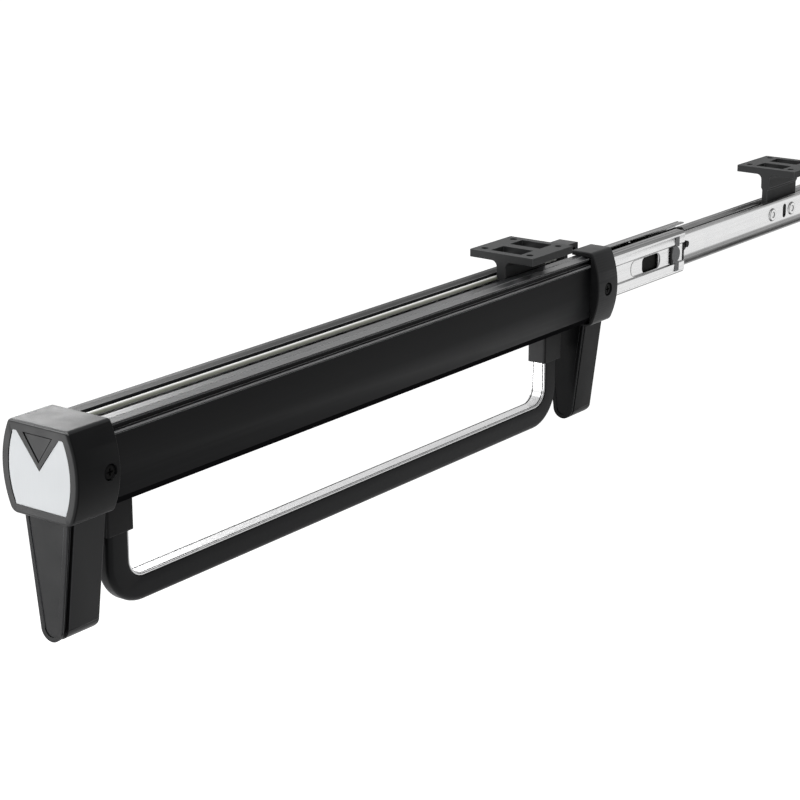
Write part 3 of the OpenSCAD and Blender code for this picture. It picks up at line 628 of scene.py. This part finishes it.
capLook = {
    "color": (0.011, 0.0113, 0.012),
    "shadeSpread": 1.25,
    "roughness": 0.40,
    "roughSpread": 0.05,
    "specular": 0.12,
    "grainSize": 0.00045,
    "grainDepth": 0.000012,
    "edgeRound": 0.0006,
    "topRound": 0.0035,      # long corners of the cap and the collar
    "bottomRound": 0.0065,
    "cornerSteps": 7,
    "shellDepth": 0.0022,
    "onPlane": 0.00002,
    "turnSlack": 0.001,      # radians
    "faceFacing": 0.7,       # how squarely a face looks forward, or sideways, for its finish
    "cheekFacing": 0.8,
    "shineForward": 0.3,
    "shineUp": 0.45,
}
capPlastic = mouldedPlastic("capPlastic", capLook)
# the front leg's edges: wear plus a strong painted highlight
capEdge = mouldedPlastic("capEdge", edgeWearAndLight(capLook, 3.5, 0.1))


def roundShellCorners(node, look):  # the four long corners of the bowed outline become arcs
    low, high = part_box(node)
    middle = (low.z + high.z) / 2
    half = (high.z - low.z) / 2

    def reshape(mesh):
        endHalf = max(v.co.x for v in mesh.verts if high.z - v.co.z < look["onPlane"])
        lean = 2 * math.atan((high.x - endHalf) / half)
        for side in (-1, 1):
            for end, radius in ((1, look["topRound"]), (-1, look["bottomRound"])):
                flat = Vector((0, 0, end))
                bowed = Vector((side * math.cos(lean), 0, end * math.sin(lean)))
                corner = Vector((side * endHalf, 0, middle + end * half))
                center = corner - Vector((side * radius * (1 - math.sin(lean)) / math.cos(lean), 0, end * radius))
                for step in range(look["cornerSteps"] + 1):
                    spoke = flat.slerp(bowed, step / look["cornerSteps"])
                    near = [f for f in mesh.faces
                            if any(math.hypot(v.co.x - corner.x, v.co.z - corner.z) < radius for v in f.verts)]
                    parts = set(near)
                    for face in near:
                        parts.update(face.edges)
                        parts.update(face.verts)
                    across = spoke.cross(Vector((0, 1, 0)))
                    bmesh.ops.bisect_plane(mesh, geom=list(parts), plane_co=center, plane_no=across)
                for point in mesh.verts:
                    out = Vector((point.co.x - center.x, 0, point.co.z - center.z))
                    fromFlat = (corner - point.co).dot(flat)
                    fromBowed = Vector((corner.x - point.co.x, 0, corner.z - point.co.z)).dot(bowed)
                    inset = max(0.0, min(fromFlat, fromBowed))
                    turn = math.atan2(out.dot(Vector((side, 0, 0))), out.dot(flat))
                    inArc = -look["turnSlack"] <= turn <= math.pi / 2 - lean + look["turnSlack"]
                    if inset < look["shellDepth"] and inArc and out.length > radius - inset:
                        out = out.normalized() * (radius - inset)
                        point.co.x = center.x + out.x
                        point.co.z = center.z + out.z
        if node == "front_cap":
            engraveTriangle(mesh, low.y + grooveLook["dent"], grooveLook)
    return reshape


grooveLook = {
    "dent": 0.0005,         # depth of the pressed triangle's floor
    "top": -0.0188,
    "tip": -0.0360,
    "halfWidth": 0.0121,
    "width": 0.0007,
    "depth": 0.0006,
    "onPlane": 0.00001,
}


def engraveTriangle(mesh, frontY, look):  # plain groove round the floor of the pressed triangle
    slant = math.atan2(look["halfWidth"], look["top"] - look["tip"])
    sides = []
    for outward, through in (((0, 0, 1), (0, 0, look["top"])),
                             ((math.cos(slant), 0, -math.sin(slant)), (0, 0, look["tip"])),
                             ((-math.cos(slant), 0, -math.sin(slant)), (0, 0, look["tip"]))):
        outward, through = Vector(outward), Vector(through)
        sides.append((outward, through))
        for step in (0.0, look["width"]):
            flat = [f for f in mesh.faces if all(abs(v.co.y - frontY) < look["onPlane"] for v in f.verts)]
            parts = set(flat)
            for face in flat:
                parts.update(face.edges)
                parts.update(face.verts)
            bmesh.ops.bisect_plane(mesh, geom=list(parts), plane_co=through - outward * step, plane_no=outward)
    ring = []
    for face in mesh.faces:
        if all(abs(v.co.y - frontY) < look["onPlane"] for v in face.verts):
            middle = face.calc_center_median()
            inside = min(-(middle - through).dot(outward) for outward, through in sides)
            if 0 < inside < look["width"]:
                ring.append(face)
    sunk = bmesh.ops.extrude_face_region(mesh, geom=ring)
    bmesh.ops.delete(mesh, geom=ring, context="FACES")
    for item in sunk["geom"]:
        if isinstance(item, bmesh.types.BMVert):
            item.co.y += look["depth"]
    print("cap groove:", len(ring), "faces sunk")


capFace = mouldedPlastic("capFace", dict(capLook, specular=0.19))
capShadedCheek = mouldedPlastic("capShadedCheek", dict(capLook, color=(0.006, 0.0062, 0.0066), specular=0.055))
capPaintedHighlight = mouldedPlastic("capPaintedHighlight", dict(capLook, color=(0.05, 0.051, 0.052), specular=0.6, roughness=0.28))


def capFinish(face):  # satin face; the cheeks darker with painted shade; the rounded front top edge lighter with a painted highlight
    if face.normal.y < -capLook["shineForward"] and face.normal.z > capLook["shineUp"]:
        return 3
    if face.normal.y < -capLook["faceFacing"]:
        return 1
    return 2 if abs(face.normal.x) > capLook["cheekFacing"] else 0


def noEdge(line):  # the solids' own rounding is enough
    return 0.0


roundedPiece("front_cap", "carriage", "cap_plastic", [capPlastic, capFace, capShadedCheek, capPaintedHighlight], capLook,
             weigh=noEdge, finishOf=capFinish, reshape=roundShellCorners("front_cap", capLook))
roundedPiece("rear_collar", "carriage", "cap_plastic", [capPlastic], capLook,
             weigh=noEdge, reshape=roundShellCorners("rear_collar", capLook))
roundedPieces(["front_leg"], "cap_plastic", [capPlastic, capEdge], capLook, steps=3)
# painted shade: the rear leg gets a darker copy of the cap plastic; its edges get wear plus a painted highlight
rearLegLook = dict(capLook, color=(0.0075, 0.0077, 0.008), specular=0.06)
rearLegPlastic = mouldedPlastic("rearLegPlastic", rearLegLook)
rearLegEdge = mouldedPlastic("rearLegEdge", edgeWearAndLight(rearLegLook, 3.0))
roundedPieces(["rear_leg"], "cap_plastic", [rearLegPlastic, rearLegEdge], rearLegLook, steps=3)

plateLook = {
    "color": (0.71, 0.733, 0.75),
    "shadeSpread": 0.975,
    "metallic": 0.0,
    "roughness": 0.36,
    "roughSpread": 0.04,
    "specular": 0.3,
    "streaks": (900, 900, 30),
    "streakDepth": 0.000003,
    "cloudScale": 45.0,
    "tarnish": 0.25,
    "tarnishColor": (0.68, 0.703, 0.72),
    "edgeRound": 0.0005,
}
plateSilver = drawnMetal("plateSilver", plateLook)
plateEdge = drawnMetal("plateEdge", edgeWearAndLight(plateLook, 0.1, 0.0))  # painted shadow: the plate's rounded edges go dark as the gap round the plate
roundedPieces(["face_plate"], "face_silver", [plateSilver, plateEdge], plateLook)

screwLook = {
    "color": (0.004, 0.004, 0.004),
    "shadeSpread": 1.4,
    "metallic": 0.0,
    "roughness": 0.34,
    "roughSpread": 0.06,
    "specular": 0.03,
    "streaks": (1200, 1200, 1200),
    "streakDepth": 0.000006,
    "cloudScale": 300.0,
    "tarnish": 0.4,
    "tarnishColor": (0.006, 0.006, 0.006),
    "edgeRound": 0.0002,
}
screwBlack = drawnMetal("screwBlack", screwLook)
roundedPieces(["cap_screws", "collar_screws"], "screw_black", [screwBlack], screwLook)

zincScrewLook = {
    "color": (0.76, 0.765, 0.78),
    "shadeSpread": 0.88,
    "metallic": 1.0,
    "roughness": 0.32,
    "roughSpread": 0.05,
    "specular": 0.5,
    "streaks": (1300, 1300, 1300),
    "streakDepth": 0.000005,
    "cloudScale": 250.0,
    "tarnish": 0.3,
    "tarnishColor": (0.55, 0.56, 0.60),
    "edgeRound": 0.0002,
}
screwZinc = drawnMetal("screwZinc", zincScrewLook)
roundedPieces(["outer_member_screws", "leg_screws", "socket_screws"], "screw_zinc", [screwZinc], zincScrewLook)

rubberLook = {
    "color": (0.012, 0.012, 0.012),
    "shadeSpread": 1.5,
    "roughness": 0.72,
    "roughSpread": 0.08,
    "specular": 0.3,
    "grainSize": 0.0006,
    "grainDepth": 0.00002,
    "edgeRound": 0.0005,
}
roundedPieces(["closing_bumpers"], "bumper_rubber", [mouldedPlastic("bumperRubber", rubberLook)], rubberLook)
print("cap, collar, legs and screws done")


# leg covers

coverLook = {
    "color": (0.013, 0.0133, 0.014),
    "shadeSpread": 1.25,
    "roughness": 0.36,
    "roughSpread": 0.05,
    "specular": 0.087,
    "grainSize": 0.00045,
    "grainDepth": 0.00001,
    "edgeRound": 0.0005,
}
coverPlastic = mouldedPlastic("coverPlastic", coverLook)
# the cover's rim edges: wear plus a strong painted highlight
coverEdge = mouldedPlastic("coverEdge", edgeWearAndLight(coverLook, 6.0, 0.12))
roundedPieces(["front_leg_cover"], "cover_plastic", [coverPlastic, coverEdge], coverLook, steps=3)
# painted shade: the rear cover gets a darker copy of the cover plastic; its edges the same painted highlight
rearCoverLook = dict(coverLook, color=(0.005, 0.0051, 0.0054), specular=0.03)
rearCoverPlastic = mouldedPlastic("rearCoverPlastic", rearCoverLook)
rearCoverEdge = mouldedPlastic("rearCoverEdge", edgeWearAndLight(rearCoverLook, 6.0, 0.12))
roundedPieces(["rear_leg_cover"], "cover_plastic", [rearCoverPlastic, rearCoverEdge], rearCoverLook, steps=3)


# bar, grip strip and sockets

socketLook = {
    "color": (0.012, 0.012, 0.0125),
    "shadeSpread": 1.3,
    "roughness": 0.44,
    "roughSpread": 0.05,
    "specular": 0.08,
    "grainSize": 0.0004,
    "grainDepth": 0.000012,
    "edgeRound": 0.0004,
    "frontFacing": 0.7,
}
socketPlastic = mouldedPlastic("socketPlastic", socketLook)
# painted light: the forward faces get a lighter copy of the socket plastic
socketFront = mouldedPlastic("socketFront", dict(socketLook, color=(0.050, 0.050, 0.051), roughness=0.5))
socketEdge = mouldedPlastic("socketEdge", edgeWearAndLight(socketLook))
roundedPieces(["front_bar_socket", "rear_bar_socket"], "socket_plastic", [socketPlastic, socketFront, socketEdge],
              socketLook, finishOf=lambda face: 1 if face.normal.y < -socketLook["frontFacing"] else 0)

barLook = {
    "color": (0.010, 0.0103, 0.011),
    "shadeSpread": 1.3,
    "roughness": 0.40,
    "roughSpread": 0.05,
    "specular": 0.08,
    "peelSize": 0.0014,
    "peelDepth": 0.00002,
    "poreSize": 0.0005,
    "poreDepth": 0.000005,
    "edgeRound": 0.0003,
}
barBlack = powderCoat("barBlack", barLook)
roundedPieces(["hanging_bar"], "bar_black", [barBlack, powderCoat("barEdge", edgeWearAndLight(barLook))], barLook)

gripStripLook = {
    "color": (0.80, 0.80, 0.805),
    "shadeSpread": 0.82,
    "metallic": 0.6,
    "roughness": 0.30,
    "roughSpread": 0.06,
    "specular": 0.5,
    "streaks": (1100, 6, 700),
    "streakDepth": 0.000005,
    "cloudScale": 30.0,
    "tarnish": 0.5,
    "tarnishColor": (0.62, 0.625, 0.63),
    "edgeRound": 0.0004,
}
stripBright = drawnMetal("stripBright", gripStripLook)
# painted shade: the strip's rounded edges get a dark copy, a shadow line along its groove
stripRim = drawnMetal("stripRim", edgeWearAndLight(gripStripLook, 0.22, -0.1))
roundedPieces(["bar_strip"], "strip_bright", [stripBright, stripRim], gripStripLook, steps=1)
print("covers, sockets, bar and strip done")


# floor, background, lamps and camera

stageLook = {
    "floorDrop": 1.03,      # the rack hangs at a low shelf's height over the floor
    "floorSize": 16.0,
    "floorCells": 8,
    "floorColor": 0.62,
    "floorSpeckle": 1.03,
    "speckleScale": 6.0,
    "floorRoughness": 0.9,
    "floorSpecular": 0.1,
    "floorGlow": 0.8,
    "fillLevel": 0.38,
}


def seenRays(tree):  # camera, glossy and transmission rays meet a plain white room
    path = shaderNode(tree, "ShaderNodeLightPath")
    bounced = combine(tree, "MAXIMUM", path.outputs["Is Glossy Ray"], path.outputs["Is Transmission Ray"])
    return combine(tree, "MAXIMUM", path.outputs["Is Camera Ray"], bounced)


def buildFloor(look):
    data = bpy.data.meshes.new("floor")
    mesh = bmesh.new()
    bmesh.ops.create_grid(mesh, x_segments=look["floorCells"], y_segments=look["floorCells"], size=look["floorSize"])
    mesh.to_mesh(data)
    mesh.free()
    floor = bpy.data.objects.new("floor", data)
    floor.location = (0, 0, -look["floorDrop"])
    bpy.context.scene.collection.objects.link(floor)
    finish, tree, shader = newFinish("floorWhite")
    level = look["floorColor"]
    speckle = noise(tree, onObject(tree), look["speckleScale"], detail=3.0)
    shade = mixColor(tree, speckle, rgba((level,) * 3), rgba((level * look["floorSpeckle"],) * 3))
    tree.links.new(shade, shader.inputs["Base Color"])
    shader.inputs["Roughness"].default_value = look["floorRoughness"]
    shader.inputs["Specular IOR Level"].default_value = look["floorSpecular"]
    strength = combine(tree, "MULTIPLY", seenRays(tree), look["floorGlow"])
    glow = shaderNode(tree, "ShaderNodeEmission", {"Color": (1, 1, 1, 1), "Strength": strength})
    both = shaderNode(tree, "ShaderNodeAddShader", {0: shader.outputs["BSDF"], 1: glow.outputs["Emission"]})
    tree.links.new(both.outputs["Shader"], tree.nodes["Material Output"].inputs["Surface"])
    data.materials.append(finish)


def buildWorld(look):
    world = bpy.data.worlds.new("studio")
    bpy.context.scene.world = world
    world.use_nodes = True
    tree = world.node_tree
    level = remap(tree, seenRays(tree), 0.0, 1.0, look["fillLevel"], 1.0)
    tree.links.new(level, tree.nodes["Background"].inputs["Strength"])
    tree.nodes["Background"].inputs["Color"].default_value = (1, 1, 1, 1)


def softLamp(name, look):
    lamp = bpy.data.lights.new(name, "AREA")
    lamp.shape = "RECTANGLE"
    lamp.size, lamp.size_y = look["size"]
    lamp.energy = look["power"]
    made = bpy.data.objects.new(name, lamp)
    made.location = look["place"]
    made.rotation_euler = (Vector(look["aim"]) - Vector(look["place"])).to_track_quat("-Z", "Y").to_euler()
    made.visible_camera = False
    bpy.context.scene.collection.objects.link(made)


lampLook = {
    "back": {"place": (-1.75, 0.6, 0.7), "aim": (0, -0.45, 0), "size": (1.2, 0.75), "power": 20.0},
    "front": {"place": (-1.5, -2.05, -0.45), "aim": (0, -0.5, -0.05), "size": (1.2, 1.1), "power": 24.0},
    "overhead": {"place": (-0.1, -0.4, 1.9), "aim": (0, -0.3, 0), "size": (0.9, 1.3), "power": 27.0},
    "edge": {"place": (-1.3, -1.7, 1.2), "aim": (0, -0.4, 0), "size": (0.7, 0.7), "power": 8.0},
}

buildFloor(stageLook)
buildWorld(stageLook)
for lampName, lamp in lampLook.items():
    softLamp(lampName, lamp)

cameraLook = {
    "place": (0.90992, -1.37649, 0.37666),
    "downward": 16.74,      # degrees below level
    "turned": 36.61,        # degrees from facing along the rail
    "lens": 101.92,
    "sensor": 36.0,
    "nearest": 0.01,
}


def buildCamera(look):
    data = bpy.data.cameras.new("camera")
    data.lens = look["lens"]
    data.sensor_width = look["sensor"]
    data.sensor_fit = "HORIZONTAL"
    data.clip_start = look["nearest"]
    made = bpy.data.objects.new("camera", data)
    made.location = look["place"]
    made.rotation_euler = (math.radians(90 - look["downward"]), 0, math.radians(look["turned"]))
    bpy.context.scene.collection.objects.link(made)
    bpy.context.scene.camera = made


buildCamera(cameraLook)
bpy.context.scene.view_settings.view_transform = "Standard"
print("floor, lamps and camera done")
